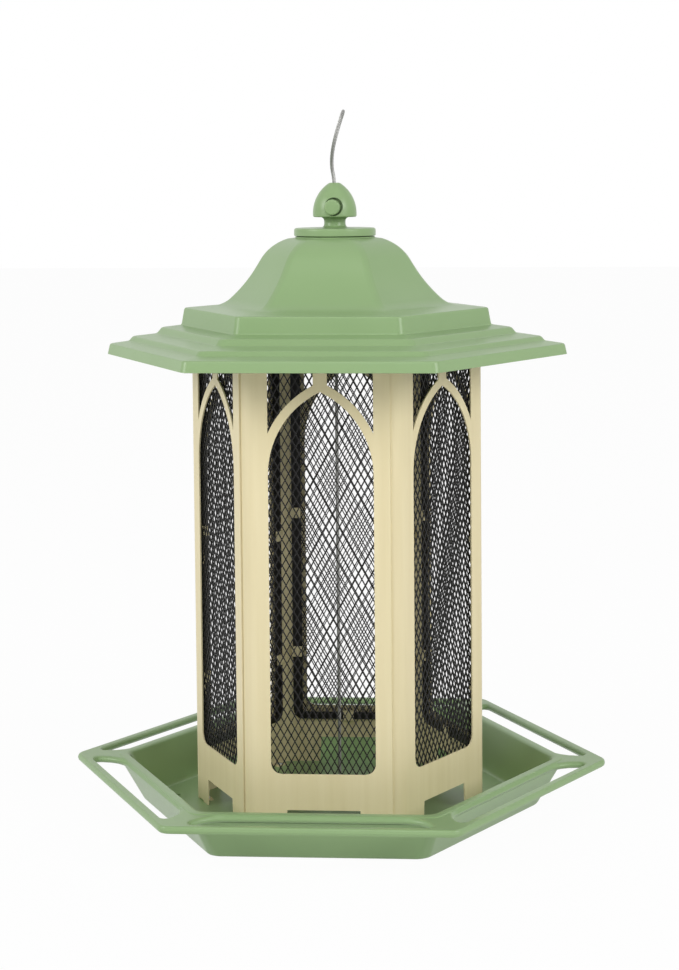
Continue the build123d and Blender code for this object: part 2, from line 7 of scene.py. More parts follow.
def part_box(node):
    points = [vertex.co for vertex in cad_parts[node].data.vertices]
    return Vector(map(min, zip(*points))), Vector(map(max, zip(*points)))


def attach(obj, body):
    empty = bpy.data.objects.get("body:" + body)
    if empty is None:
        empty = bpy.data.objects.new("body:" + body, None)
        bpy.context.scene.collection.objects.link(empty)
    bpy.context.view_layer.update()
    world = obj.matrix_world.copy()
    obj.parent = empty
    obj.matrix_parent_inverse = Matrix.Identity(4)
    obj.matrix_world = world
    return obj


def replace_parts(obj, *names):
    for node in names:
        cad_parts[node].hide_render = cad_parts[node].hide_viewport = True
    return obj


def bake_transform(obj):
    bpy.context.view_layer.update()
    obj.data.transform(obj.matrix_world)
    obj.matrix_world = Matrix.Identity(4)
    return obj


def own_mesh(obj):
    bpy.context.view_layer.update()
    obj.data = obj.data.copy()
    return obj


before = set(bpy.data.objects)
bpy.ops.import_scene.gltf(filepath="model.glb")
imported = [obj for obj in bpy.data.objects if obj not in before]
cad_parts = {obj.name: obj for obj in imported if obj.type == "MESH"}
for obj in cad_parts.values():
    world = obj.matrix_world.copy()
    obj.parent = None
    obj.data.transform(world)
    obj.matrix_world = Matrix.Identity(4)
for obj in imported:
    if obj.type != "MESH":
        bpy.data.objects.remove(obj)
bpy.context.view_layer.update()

# Hexagonal bird feeder. Pieces are modelled in millimetres, where the frame has them,
# and brought to the frame's metres when they are finished.
MM = 0.001
COS30 = math.cos(math.radians(30))
TAN30 = math.tan(math.radians(30))


def in_mm(node):
    """A node's lowest and highest corners in millimetres."""
    low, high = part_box(node)
    return low / MM, high / MM


PANEL_LOW, PANEL_HIGH = in_mm("panel_front")
LOCK_LOW, LOCK_HIGH = in_mm("lock_body")
TRAY_HIGH = in_mm("seed_tray")[1]
SCREEN_LOW, SCREEN_HIGH = in_mm("screen_front")
BUTTON_LOW, BUTTON_HIGH = in_mm("lock_button")
SPRING_LOW, SPRING_HIGH = in_mm("lock_spring")
LEGS_LOW, LEGS_HIGH = in_mm("cable_legs")

# Body panels of thin sheet
PANEL_NAMES = ("front", "front_right", "back_right", "back", "back_left", "front_left")
APOTHEM = -PANEL_LOW.y
BODY_SIDE = APOTHEM / COS30
PANEL_TOP = PANEL_HIGH.z
FLOOR = PANEL_LOW.z
SHEET = 0.8
SHEET_EDGE = 0.15           # broken edge of the cut sheet
BEND_RADIUS = 8.0
SEAM_SETBACK = 4.0
LAP_GAP = 0.05
FLANGE = 7.5
STILE = 12.0
WINDOW_HALF = BODY_SIDE / 2 - STILE
WINDOW_SILL = 33.0
WINDOW_CORNER = 5.0
ARCH_RISE = 39.5
ARCH_BAND = 4.3
BRIDGE_WIDTH = 6.7
BRIDGE_LENGTH = 19.8
TOP_BAND = 9.8
SPANDREL_TOP = PANEL_TOP - TOP_BAND
NOTCH_HALF = 17.5
NOTCH_TOP = 15.6
NOTCH_FLARE = 0.8
TAB_WIDTH = 5.5
TAB_LENGTH = 5.9            # from the outside of a tab's root to its end over the screen's hem
TAB_REACH = 8.3             # from the window's edge to the outside of a tab's root
TAB_ROUND = 0.7
LEFT_TABS = (26.0, 92.6)    # middles of the side tabs, above the sill
RIGHT_TABS = (29.5, 104.4)
SILL_TAB = 2.6
FOOT_TAB_WIDTH = 6.5
FOOT_TAB_RUN = 4.1          # flat of the foot tab, on the tray floor
FOOT_TAB_INSET = 1.4        # from the corner bend to the foot tab
FOOT_BEND = 1.2
BEND_START = BODY_SIDE / 2 - BEND_RADIUS * TAN30
SHEET_BEND = BEND_START - (SHEET + LAP_GAP) / COS30
FOOT_TAB_CENTRE = FOOT_TAB_INSET + FOOT_TAB_WIDTH / 2 - BEND_START
ARCH_RADIUS = (ARCH_RISE**2 + WINDOW_HALF**2) / (2 * WINDOW_HALF)
ARCH_CENTRE = ARCH_RADIUS - WINDOW_HALF
BAND_RISE = math.sqrt((ARCH_RADIUS + ARCH_BAND) ** 2 - ARCH_CENTRE**2)
ARCH_SPRING = SPANDREL_TOP - BRIDGE_LENGTH - BAND_RISE

# Expanded-metal screens
MESH_PITCH_X = 3.4
MESH_PITCH_Z = 6.3
MESH_STRAND = 0.5
SCREEN_THICK = 0.45
SCREEN_INSET = 1.2          # screen's edge inside the frame's stand-in, at the sides and below
HEM_SIDE = 4.7
HEM_END = 3.6
HEM_CORNER = 5.0

# Moulded seed tray
PAN_MARGIN = 22.9           # from the body's faces out to the pan's foot
PAN_FLARE = 12.5            # the pan wall's lean, from foot to rim
PERCH_REACH = 17.47         # from the rim's outside to the perch rail's
PAN_BASE = APOTHEM + PAN_MARGIN
PAN_RIM = PAN_BASE + PAN_FLARE
RAIL_OUT = PAN_RIM + PERCH_REACH
RIM_TOP = TRAY_HIGH.z
RIM_WIDTH = 5.5
RIM_ROUND = 2.1
PAN_WALL = 2.6
PAN_CORNER = 7.0
PAN_ROUND = 2.2
RAIL_DROP = 0.5             # rail's top below the rim's
RAIL_TOP = RIM_TOP - RAIL_DROP
RAIL_THICK = 3.5
RAIL_WIDTH = 5.0
RAIL_CORNER = 7.0
RAIL_EDGE = 1.5
WEB_WIDTH = 12.5
SLOT_INNER_ROUND = 16.0
SLOT_OUTER_ROUND = 2.5
SLOT_OVERLAP = 0.3          # slots reach this far in past the rim's outside
DRAIN_RADIUS = 1.5
DRAIN_MARGIN = 9.0          # from the body's corners out to the drain holes
DRAIN_OUT = BODY_SIDE + DRAIN_MARGIN
DRAIN_CUT = 6 * FLOOR
HUB_RADIUS = 8.0
HUB_TOP = 6.4
HUB_RECESS = 6.5
HUB_RECESS_TOP = 4.2
HUB_ROUND = 0.8
RECESS_ROUND = 0.2
RECESS_MOUTH = 0.3          # rounding of the recess's lower edge
ROUND_PART = HUB_RADIUS + 2 # round out to here, and six-sided beyond
CABLE_HOLE = 2.1

# Rivets
RIVET_SHANK = 0.9
RIVET_HEAD = 1.6
RIVET_HEAD_HEIGHT = 0.6
RIVET_RECESS = 0.2
RIVET_GAP = 0.05            # round the head in its sink
RIVET_BACKSET = 2.25        # from the inside of the panel's face
RIVET_SHOULDER = (0.2, 0.45)  # in from the head's edge, and up from its foot
RIVET_PLACE = Vector((FOOT_TAB_CENTRE, -APOTHEM + SHEET + RIVET_BACKSET, 0))

# Roof: each riser or shelf leads out and down from the top shelf's edge
ROOF_WALL = 1.4
ROOF_EDGE = 0.35            # broken edges of the roof's wall
TOP_MARGIN = 2.8            # from the body's corners out to the top riser's
TOP_RISER = BODY_SIDE + TOP_MARGIN
TOP_SHELF_WIDTH = 15.2
TOP_SHELF_RISE = 1.1
ROOF_STEPS = [              # out and down
    (1.6, 8.6),
    (10.0, 1.2),
    (2.6, 3.1),
    (12.2, 1.4),
    (1.8, 2.3),
    (9.8, 1.4),
    (1.2, 5.2),
]
STEP_ROUND = 1.1
ROOF_CORNER = 4.5
BELL_CORNER = 4.5
BELL_FOOT_SLOPE = 8.0
BELL_FOOT_RADIUS = 12.0
BELL_START_SLOPE = 46.0
BELL_SWEEP_RADIUS = 70.0
BELL_SLOPE = 62.0
BELL_STRAIGHT = 4.4
SHOULDER_RADIUS = 21.5
SHOULDER_SLOPE = 8.0
BELL_LEVELS = 14
ROOF_HOLE = 5.5
SEAT_RADIUS = 19.9          # round seat on the crown, under the lock's disc
SEAT_RISE = 0.6
SEAT_EDGE = 0.25
SEAT_DROP = 0.05

# Cap lock, button and spring
SPIGOT_LENGTH = 4.0
DISC_THICK = 4.2
NECK_LENGTH = 5.4
CROWN = LOCK_LOW.z + SPIGOT_LENGTH
DISC_RADIUS = LOCK_HIGH.x
DISC_TOP = CROWN + DISC_THICK
NECK_RADIUS = 5.3
NECK_ROUND = 2.4
HEAD_LOW = DISC_TOP + NECK_LENGTH
HEAD_RADIUS = 10.85
HEAD_SKIRT = 2.0
HEAD_TOP = LOCK_HIGH.z
TIP_RADIUS = 2.5
SPIGOT_RADIUS = 5.2
BUTTON_Z = (BUTTON_LOW.z + BUTTON_HIGH.z) / 2
BUTTON_RADIUS = BUTTON_HIGH.x
BUTTON_MOUTH = 4.55
BUTTON_BORE = 3.96
BUTTON_DOME = 0.9
BUTTON_CROWNING = 0.35      # middle of the button's face over its edge
MOUTH_DEPTH = 4.2
MOUTH_OFFSET = (0.6, 0.3)   # of the mouth from the button, across and up
DISC_LIFT = 0.3             # disc over the crown
DISC_ROUND = 1.4
DISC_FOOT_ROUND = 0.5
HEAD_ROUND = 0.9
SPIGOT_ROUND = 0.4
SPIGOT_COVE = 0.2
TIP_ROUND = 1.0
LOCK_SLOT = (1.1, 2.05)     # half width and half length of the cable's slot in the lock
BUTTON_SLOT = (1.1, 3.15)   # and in the button, longer by its travel
BUTTON_SLOT_Y = -1.1        # the slot's middle, half the travel forward
LOCK_CUT = 80.0             # lengths of the tools that cut the slots
BUTTON_CUT = 30.0
BORE_END = SPRING_HIGH.y
SPRING_WIRE = 0.6
SPRING_TURNS = 3

# Wire rope: a core and six strands
ROPE = 1.6
STRANDS = 6
STRAND = ROPE / 3
LAY_LENGTH = 10.4
STRAND_SIDES = 6
LEG = 0.95
LOOP_ROUTE = [              # across, out from the axis, and over the lock's top
    (0.0, LEG, -7.3),
    (0.0, LEG, 1.2),
    (-1.5, 2.0, 8.2),
    (-0.9, 6.2, 16.2),
    (1.0, 9.3, 23.9),
    (3.0, 8.4, 30.5),
    (4.7, 3.6, 35.4),
]
LOOP_SWING = 0.114          # aside for each mm out
ROUTE_STEPS = 12
LEG_STEP = 1.0
SPLIT_DROP = 6.0            # crown down to where the cable in the hopper meets that in the lock
CABLE_SPLIT = CROWN - SPLIT_DROP

# Broken edges of the cable's anchor
WASHER_EDGE = 0.15
STOP_EDGE = 0.4

# Counts of edges in round stretches
CORNER_STEPS = 7
ROUND_STEPS = 4
TURN_STEPS = 64
ARCH_STEPS = 14
BEND_STEPS = 6
OGIVE_STEPS = 14
SPRING_STEPS = 24
SPRING_SIDES = 10
BORE_SIDES = 48

# Angles of a turn, of edges that are bevelled, and of edges that stay sharp in the shading
SIXTH = math.radians(60)
QUARTER = math.radians(90)
BEVEL_ANGLE = math.radians(50)
SHEET_BEVEL_ANGLE = math.radians(55)
FLAT_ANGLE = math.radians(1)
SHADE_ANGLE = math.radians(35)
LOCK_SHADE_ANGLE = math.radians(40)

# Distances within which points are merged, or count as touching
MERGE = 0.002
TOUCH = 0.01
EASE_SHARE = 0.45           # largest share of a side that an eased corner takes

# Studio, in metres: camera, lamps and floor
CAMERA_PLACE = (0.1237, -1.0124, 0.3169)
CAMERA_TURN = (86.23, 0.28, 3.33)
CAMERA_LENS = 75.87
CAMERA_SHIFT = (-0.129, -0.181)
LAMP_AIM = Vector((0, 0, 0.15))
LAMPS = [
    ("left_softbox", (-1.36, -0.85, 0.85), 0.7, 11.5),
    ("right_softbox", (1.36, -0.85, 0.85), 0.7, 12.0),
    ("front_softbox", (0.0, -1.3, 1.15), 0.8, 4.6),
]
SURROUND_LIGHT = 0.42
WHITE = (1, 1, 1, 1)
FLOOR_WHITE = 0.96          # share of white in the floor, as the camera sees it
FLOOR_SIZE = 12.0
FLOOR_DROP = 0.0003


def srgb(code):
    """Linear colour of an sRGB hex value."""
    channels = [int(code[place : place + 2], 16) / 255 for place in (1, 3, 5)]
    linear = [c / 12.92 if c <= 0.04045 else ((c + 0.055) / 1.055) ** 2.4 for c in channels]
    return (*linear, 1.0)


def add_node(tree, kind, settings, links):
    """Adds a shader node with its settings, and links its sockets from other nodes' outputs."""
    node = tree.nodes.new(kind)
    for name, value in settings.items():
        if isinstance(name, int) or name in node.inputs:
            node.inputs[name].default_value = value
        else:
            setattr(node, name, value)
    for name, source in links.items():
        tree.links.new(source, node.inputs[name])
    return node


def new_material(name):
    """A material with its shader, and the surface's own millimetres as coordinates."""
    material = bpy.data.materials.new(name)
    material.use_nodes = True
    tree = material.node_tree
    place = add_node(tree, "ShaderNodeTexCoord", {}, {}).outputs["Object"]
    scale = {"vector_type": "POINT", "Scale": (1 / MM, 1 / MM, 1 / MM)}
    millimetres = add_node(tree, "ShaderNodeMapping", scale, {"Vector": place}).outputs["Vector"]
    return material, tree, tree.nodes["Principled BSDF"], millimetres


def sage_moulded_abs():
    """Moulded ABS: an even body colour, a soft broad gloss and the faint ripple of the mould."""
    material, tree, shader, millimetres = new_material("sage_moulded_abs")
    cloud = add_node(
        tree, "ShaderNodeTexNoise", {"Scale": 1 / 45, "Detail": 3.0}, {"Vector": millimetres}
    )
    tone = add_node(
        tree,
        "ShaderNodeMix",
        {"data_type": "RGBA", 6: srgb("#85A26F"), 7: srgb("#8EAA79")},
        {"Factor": cloud.outputs["Fac"]},
    )
    ripple = add_node(
        tree, "ShaderNodeTexNoise", {"Scale": 1 / 1.6, "Detail": 2.0}, {"Vector": millimetres}
    )
    gloss = add_node(
        tree,
        "ShaderNodeMapRange",
        {"To Min": 0.28, "To Max": 0.37},
        {"Value": ripple.outputs["Fac"]},
    )
    bump = add_node(
        tree,
        "ShaderNodeBump",
        {"Strength": 0.06, "Distance": 0.2 * MM},
        {"Height": ripple.outputs["Fac"]},
    )
    shader.inputs["Specular IOR Level"].default_value = 0.42
    tree.links.new(tone.outputs[2], shader.inputs["Base Color"])
    tree.links.new(gloss.outputs["Result"], shader.inputs["Roughness"])
    tree.links.new(bump.outputs["Normal"], shader.inputs["Normal"])
    return material


def cream_baked_enamel():
    """Baked enamel on rolled sheet: a warm satin coat with faint upright streaks."""
    material, tree, shader, millimetres = new_material("cream_baked_enamel")
    streak_scale = {"vector_type": "POINT", "Scale": (1.0, 1.0, 0.04)}
    streak_place = add_node(tree, "ShaderNodeMapping", streak_scale, {"Vector": millimetres})
    streaks = add_node(
        tree,
        "ShaderNodeTexNoise",
        {"Scale": 1 / 3.5, "Detail": 4.0},
        {"Vector": streak_place.outputs["Vector"]},
    )
    tone = add_node(
        tree,
        "ShaderNodeMix",
        {"data_type": "RGBA", 6: srgb("#DACCA0"), 7: srgb("#E8DCB6")},
        {"Factor": streaks.outputs["Fac"]},
    )
    peel = add_node(
        tree, "ShaderNodeTexNoise", {"Scale": 1 / 0.9, "Detail": 2.0}, {"Vector": millimetres}
    )
    gloss = add_node(
        tree,
        "ShaderNodeMapRange",
        {"To Min": 0.34, "To Max": 0.46},
        {"Value": streaks.outputs["Fac"]},
    )
    bump = add_node(
        tree,
        "ShaderNodeBump",
        {"Strength": 0.08, "Distance": 0.1 * MM},
        {"Height": peel.outputs["Fac"]},
    )
    shader.inputs["IOR"].default_value = 1.5
    tree.links.new(tone.outputs[2], shader.inputs["Base Color"])
    tree.links.new(gloss.outputs["Result"], shader.inputs["Roughness"])
    tree.links.new(bump.outputs["Normal"], shader.inputs["Normal"])
    return material


def black_coated_mesh():
    """Powder-coated expanded metal: near-black, with a dull gloss and a fine grit."""
    material, tree, shader, millimetres = new_material("black_coated_mesh")
    grit = add_node(
        tree, "ShaderNodeTexNoise", {"Scale": 1 / 0.35, "Detail": 2.0}, {"Vector": millimetres}
    )
    tone = add_node(
        tree,
        "ShaderNodeMix",
        {"data_type": "RGBA", 6: srgb("#0B0A09"), 7: srgb("#161412")},
        {"Factor": grit.outputs["Fac"]},
    )
    gloss = add_node(
        tree, "ShaderNodeMapRange", {"To Min": 0.38, "To Max": 0.55}, {"Value": grit.outputs["Fac"]}
    )
    shader.inputs["Specular IOR Level"].default_value = 0.3
    bump = add_node(
        tree,
        "ShaderNodeBump",
        {"Strength": 0.15, "Distance": 0.05 * MM},
        {"Height": grit.outputs["Fac"]},
    )
    tree.links.new(tone.outputs[2], shader.inputs["Base Color"])
    tree.links.new(gloss.outputs["Result"], shader.inputs["Roughness"])
    tree.links.new(bump.outputs["Normal"], shader.inputs["Normal"])
    return material


def plain_metal(name, dark, light, grain, smooth, rough):
    """Bare metal with a fine uneven grain, given its two tones, grain in mm and roughness range."""
    material, tree, shader, millimetres = new_material(name)
    flecks = add_node(
        tree, "ShaderNodeTexNoise", {"Scale": 1 / grain, "Detail": 3.0}, {"Vector": millimetres}
    )
    tone = add_node(
        tree,
        "ShaderNodeMix",
        {"data_type": "RGBA", 6: srgb(dark), 7: srgb(light)},
        {"Factor": flecks.outputs["Fac"]},
    )
    gloss = add_node(
        tree,
        "ShaderNodeMapRange",
        {"To Min": smooth, "To Max": rough},
        {"Value": flecks.outputs["Fac"]},
    )
    shader.inputs["Metallic"].default_value = 1.0
    tree.links.new(tone.outputs[2], shader.inputs["Base Color"])
    tree.links.new(gloss.outputs["Result"], shader.inputs["Roughness"])
    return material


SAGE = sage_moulded_abs()
CREAM = cream_baked_enamel()
BLACK = black_coated_mesh()
ROPE_STEEL = plain_metal("galvanised_wire_rope", "#8C8C8A", "#B8B8B4", 0.5, 0.3, 0.5)
ZINC = plain_metal("zinc_plated_steel", "#A8ABAE", "#C6C8CA", 1.2, 0.25, 0.4)
SPRING_STEEL = plain_metal("spring_steel_wire", "#9A9A9A", "#B4B4B4", 0.6, 0.2, 0.35)


def start(name, add, **size):
    """Adds a primitive, alone in the selection, and names it."""
    bpy.ops.object.select_all(action="DESELECT")
    add(**size)
    piece = bpy.context.object
    piece.name = name
    piece.data.name = name
    bpy.ops.object.transform_apply(location=True, rotation=True, scale=True)
    return piece


def only(piece):
    """Selects one piece and nothing else."""
    bpy.ops.object.select_all(action="DESELECT")
    piece.select_set(True)
    bpy.context.view_layer.objects.active = piece


def edit(piece):
    """Opens a piece in edit mode with nothing selected."""
    only(piece)
    bpy.ops.object.mode_set(mode="EDIT")
    bpy.ops.mesh.select_all(action="DESELECT")


def done():
    """Leaves edit mode."""
    bpy.ops.object.mode_set(mode="OBJECT")


def pick_edges(piece, test):
    """Opens a piece in edit mode with the edges selected whose two ends pass a test."""
    only(piece)
    mesh = piece.data
    for part in (*mesh.vertices, *mesh.edges, *mesh.polygons):
        part.select = False
    for edge in mesh.edges:
        edge.select = all(test(mesh.vertices[index].co) for index in edge.vertices)
    bpy.ops.object.mode_set(mode="EDIT")
    bpy.ops.mesh.select_mode(type="EDGE")


def clean(piece):
    """Merges doubles and turns the faces alike, away from the feeder's axis."""
    edit(piece)
    bpy.ops.mesh.select_all(action="SELECT")
    bpy.ops.mesh.remove_doubles(threshold=MERGE)
    bpy.ops.mesh.normals_make_consistent(inside=False)
    done()
    mesh = piece.data
    middle = Vector((0, 0, sum(vertex.co.z for vertex in mesh.vertices) / len(mesh.vertices)))
    outward = sum(face.area * face.normal.dot(face.center - middle) for face in mesh.polygons)
    if outward < 0:
        edit(piece)
        bpy.ops.mesh.select_all(action="SELECT")
        bpy.ops.mesh.flip_normals()
        done()


def modify(piece, kind, **settings):
    """Adds a modifier with its settings and applies it."""
    only(piece)
    modifier = piece.modifiers.new(kind.lower(), kind)
    for name, value in settings.items():
        setattr(modifier, name, value)
    bpy.ops.object.modifier_apply(modifier=modifier.name)


def cut(piece, operation, tools):
    """Joins a piece with tools or cuts it by them, and deletes the tools."""
    for tool in tools:
        modify(piece, "BOOLEAN", object=tool, operation=operation, solver="EXACT")
        bpy.data.objects.remove(tool)


def break_edges(piece, width, segments=2, angle=BEVEL_ANGLE):
    """Bevels the edges sharper than an angle."""
    modify(piece, "BEVEL", width=width, segments=segments, limit_method="ANGLE", angle_limit=angle)


def smooth(piece, angle=SHADE_ANGLE):
    """Smooth shading between edges sharper than an angle, led by the larger faces."""
    only(piece)
    bpy.ops.object.shade_smooth_by_angle(angle=angle)
    modify(piece, "WEIGHTED_NORMAL", keep_sharp=True, weight=100)


def finished(piece, material):
    """Brings a piece from millimetres to the frame and gives it its finish."""
    piece.data.transform(Matrix.Scale(MM, 4))
    piece.data.materials.clear()
    piece.data.materials.append(material)
    return piece


def turned_copy(piece, name, turn):
    """A copy of a finished piece, turned about the axis in steps of a sixth."""
    copy = piece.copy()
    copy.data = piece.data.copy()
    copy.name = name
    copy.data.name = name
    copy.data.transform(Matrix.Rotation(SIXTH * turn, 4, "Z"))
    bpy.context.collection.objects.link(copy)
    return copy


def rounded(points, rounds):
    """A closed outline with its corners rounded by arcs of the given radii."""
    outline = []
    for index, radius in enumerate(rounds):
        point = Vector(points[index])
        before = (Vector(points[index - 1]) - point).normalized()
        after = (Vector(points[(index + 1) % len(points)]) - point).normalized()
        if not radius:
            outline.append(point)
            continue
        half = before.angle(after) / 2
        centre = point + (before + after).normalized() * (radius / math.sin(half))
        first = point + before * (radius / math.tan(half)) - centre
        last = point + after * (radius / math.tan(half)) - centre
        for step in range(ROUND_STEPS + 1):
            share = step / ROUND_STEPS
            reach = first.slerp(last, share, first).normalized()
            outline.append(centre + reach * radius)
    return outline


def flat_face(name, outlines, thick=0.0, edge=0.0):
    """A flat shape from an outline and the holes in it, thickened both ways with rounded edges."""
    curve = bpy.data.curves.new(name, "CURVE")
    curve.dimensions = "2D"
    curve.fill_mode = "BOTH"
    curve.extrude = thick / 2 - edge
    curve.bevel_depth = edge
    curve.bevel_resolution = 2
    curve.offset = -edge
    for outline in outlines:
        spline = curve.splines.new("POLY")
        spline.points.add(len(outline) - 1)
        spline.use_cyclic_u = True
        for point, place in zip(spline.points, outline):
            point.co = (place[0], place[1], 0, 1)
    piece = bpy.data.objects.new(name, curve)
    bpy.context.collection.objects.link(piece)
    only(piece)
    bpy.ops.object.convert(target="MESH")
    return bpy.context.object


def turned(name, profile):
    """A round shape about the Z axis, from its profile as radius and height."""
    piece = start(name, bpy.ops.mesh.primitive_circle_add, vertices=len(profile), radius=1)
    for vertex, place in zip(piece.data.vertices, profile):
        vertex.co = (place[0], 0, place[1])
    edit(piece)
    bpy.ops.mesh.select_all(action="SELECT")
    bpy.ops.mesh.spin(steps=TURN_STEPS, angle=math.tau, center=(0, 0, 0), axis=(0, 0, 1))
    done()
    clean(piece)
    return piece


def hexagon_shell(name, levels):
    """A six-sided shell through levels given as apothem, corner rounding and height."""
    per_corner = CORNER_STEPS + 1
    count = 6 * per_corner
    piece = start(name, bpy.ops.mesh.primitive_circle_add, vertices=count, radius=1)
    edit(piece)
    bpy.ops.mesh.select_all(action="SELECT")
    for _ in levels[1:]:
        bpy.ops.mesh.extrude_edges_move(TRANSFORM_OT_translate={"value": (0, 0, 1)})
    done()
    for vertex in piece.data.vertices:
        apothem, corner, height = levels[round(vertex.co.z)]
        turn = round(math.atan2(vertex.co.y, vertex.co.x) / math.tau * count) % count
        side, step = divmod(turn, per_corner)
        middle = SIXTH * side
        angle = middle + SIXTH * (step / CORNER_STEPS - 0.5)
        reach = (apothem - corner) / COS30
        vertex.co.x = reach * math.cos(middle) + corner * math.cos(angle)
        vertex.co.y = reach * math.sin(middle) + corner * math.sin(angle)
        vertex.co.z = height
    return piece


def eased(points, rounding):
    """An open profile with each inner corner replaced by a small curve."""
    line = [Vector(points[0])]
    for before, point, after in zip(points, points[1:], points[2:]):
        before, point, after = Vector(before), Vector(point), Vector(after)
        shorter = min((before - point).length, (after - point).length)
        reach = min(rounding, EASE_SHARE * shorter)
        first = point + (before - point).normalized() * reach
        last = point + (after - point).normalized() * reach
        for step in range(ROUND_STEPS + 1):
            share = step / ROUND_STEPS
            line.append(first.lerp(point, share).lerp(point.lerp(last, share), share))
    return [*line, Vector(points[-1])]


def eased_each(corners):
    """An open profile of points that each have a rounding of their own as a third value."""
    line = [Vector(corners[0][:2])]
    for before, point, after in zip(corners, corners[1:], corners[2:]):
        line += eased([before[:2], point[:2], after[:2]], point[2])[1:-1]
    return [*line, Vector(corners[-1][:2])]


def bell_levels(radius, height):
    """The bell from its foot up: two inward curves, a straight stretch and a round shoulder."""
    levels = []
    stretches = [
        (BELL_FOOT_SLOPE, BELL_START_SLOPE, BELL_FOOT_RADIUS, BELL_LEVELS),
        (BELL_START_SLOPE, BELL_SLOPE, BELL_SWEEP_RADIUS, BELL_LEVELS),
        (BELL_SLOPE, BELL_SLOPE, BELL_STRAIGHT, 1),
        (BELL_SLOPE, SHOULDER_SLOPE, SHOULDER_RADIUS, BELL_LEVELS),
    ]
    for first, last, size, steps in stretches:
        turn = math.radians(abs(last - first)) / steps
        chord = 2 * size * math.sin(turn / 2) if turn else size
        for step in range(steps):
            slope = math.radians(first + (last - first) * (step + 0.5) / steps)
            radius -= chord * math.cos(slope) / COS30
            height += chord * math.sin(slope)
            levels.append((radius * COS30, min(BELL_CORNER, radius / 3), height))
    return levels


def roof_piece():
    """The stepped roof: eave, three shelves, the top shelf and the bell."""
    radius, height = TOP_RISER, PANEL_TOP + ROOF_WALL
    foot = (radius - TOP_SHELF_WIDTH, height + TOP_SHELF_RISE)
    corners = [foot, (radius, height)]
    for out, down in ROOF_STEPS:
        radius += out
        height -= down
        corners.append((radius, height))
    profile = eased(corners[::-1], STEP_ROUND)
    levels = [(point.x * COS30, ROOF_CORNER, point.y) for point in profile[:-1]]
    levels.append((foot[0] * COS30, BELL_CORNER, foot[1]))
    bell = bell_levels(*foot)
    crown = bell[-1][2]
    levels += [level for level in bell if level[0] > SEAT_RADIUS + SEAT_RISE]
    for radius, drop in (
        (SEAT_RADIUS, SEAT_RISE),
        (SEAT_RADIUS, SEAT_EDGE),
        (SEAT_RADIUS - SEAT_EDGE, SEAT_DROP),
        (ROOF_HOLE, SEAT_DROP),
    ):
        levels.append((radius, radius, crown - drop))
    piece = hexagon_shell("roof", levels)
    clean(piece)
    modify(piece, "SOLIDIFY", thickness=ROOF_WALL, offset=-1, use_even_offset=True)
    break_edges(piece, ROOF_EDGE)
    smooth(piece)
    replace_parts(piece, "roof_shell")
    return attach(finished(piece, SAGE), "roof")


def pan_piece():
    """The pan from the hub's hole out under the floor, up to the rim and back to the hub."""
    slope = (PAN_RIM - PAN_BASE) / RIM_TOP
    inside_floor = PAN_BASE + slope * FLOOR - PAN_WALL
    inside_rim = PAN_RIM - RIM_WIDTH
    profile = [
        (CABLE_HOLE, HUB_TOP, 0),
        (CABLE_HOLE, HUB_RECESS_TOP, RECESS_ROUND),
        (HUB_RECESS, HUB_RECESS_TOP, RECESS_ROUND),
        (HUB_RECESS, 0, RECESS_MOUTH),
        (PAN_BASE, 0, PAN_ROUND),
        (PAN_RIM, RIM_TOP, RIM_ROUND),
        (inside_rim, RIM_TOP, RIM_ROUND),
        (inside_floor, FLOOR, PAN_ROUND),
        (HUB_RADIUS, FLOOR, HUB_ROUND),
        (HUB_RADIUS, HUB_TOP, HUB_ROUND),
        (CABLE_HOLE, HUB_TOP, 0),
    ]
    levels = []
    for point in eased_each(profile):
        corner = point.x if point.x < ROUND_PART else PAN_CORNER
        levels.append((point.x, corner, point.y))
    piece = hexagon_shell("seed_tray", levels)
    clean(piece)
    return piece


def perch_outlines():
    """The perch rail's outside, the pan's rim inside it, and the six slots between them."""
    def around(apothem, corner):
        ring = [Vector((math.cos(SIXTH * turn), math.sin(SIXTH * turn))) for turn in range(6)]
        return rounded([point * apothem / COS30 for point in ring], [corner] * 6)

    inner, outer = PAN_RIM - SLOT_OVERLAP, RAIL_OUT - RAIL_WIDTH
    web_side = WEB_WIDTH / 2 / COS30
    half_inner = inner * TAN30 - web_side
    half_outer = outer * TAN30 - web_side
    corners = [
        (-half_inner, -inner),
        (half_inner, -inner),
        (half_outer, -outer),
        (-half_outer, -outer),
    ]
    rounds = [SLOT_INNER_ROUND, SLOT_INNER_ROUND, SLOT_OUTER_ROUND, SLOT_OUTER_ROUND]
    slot = rounded(corners, rounds)
    slots = []
    for turn in range(6):
        slots.append([Matrix.Rotation(SIXTH * turn, 2) @ point for point in slot])
    return [around(RAIL_OUT, RAIL_CORNER), around(PAN_RIM - RIM_WIDTH / 2, PAN_CORNER), *slots]


def tray_piece():
    """The tray: the pan and the perch plate in one moulding, with drain holes and rivet sinks."""
    pan = pan_piece()
    plate = flat_face("perch", perch_outlines(), RAIL_THICK, RAIL_EDGE)
    plate.data.transform(Matrix.Translation((0, 0, RAIL_TOP - RAIL_THICK / 2)))
    clean(plate)
    add = bpy.ops.mesh.primitive_cylinder_add
    tools = []
    for turn in range(6):
        spoke = Matrix.Rotation(SIXTH * turn, 3, "Z")
        drain = spoke @ Vector((DRAIN_OUT, 0, 0))
        sink = spoke @ RIVET_PLACE
        sink_radius = RIVET_HEAD + RIVET_GAP
        tools.append(start("drain", add, radius=DRAIN_RADIUS, depth=DRAIN_CUT, location=drain))
        tools.append(start("sink", add, radius=sink_radius, depth=2 * RIVET_RECESS, location=sink))
    cut(pan, "UNION", [plate])
    cut(pan, "DIFFERENCE", tools)
    smooth(pan)
    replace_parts(pan, "seed_tray")
    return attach(finished(pan, SAGE), "feeder")


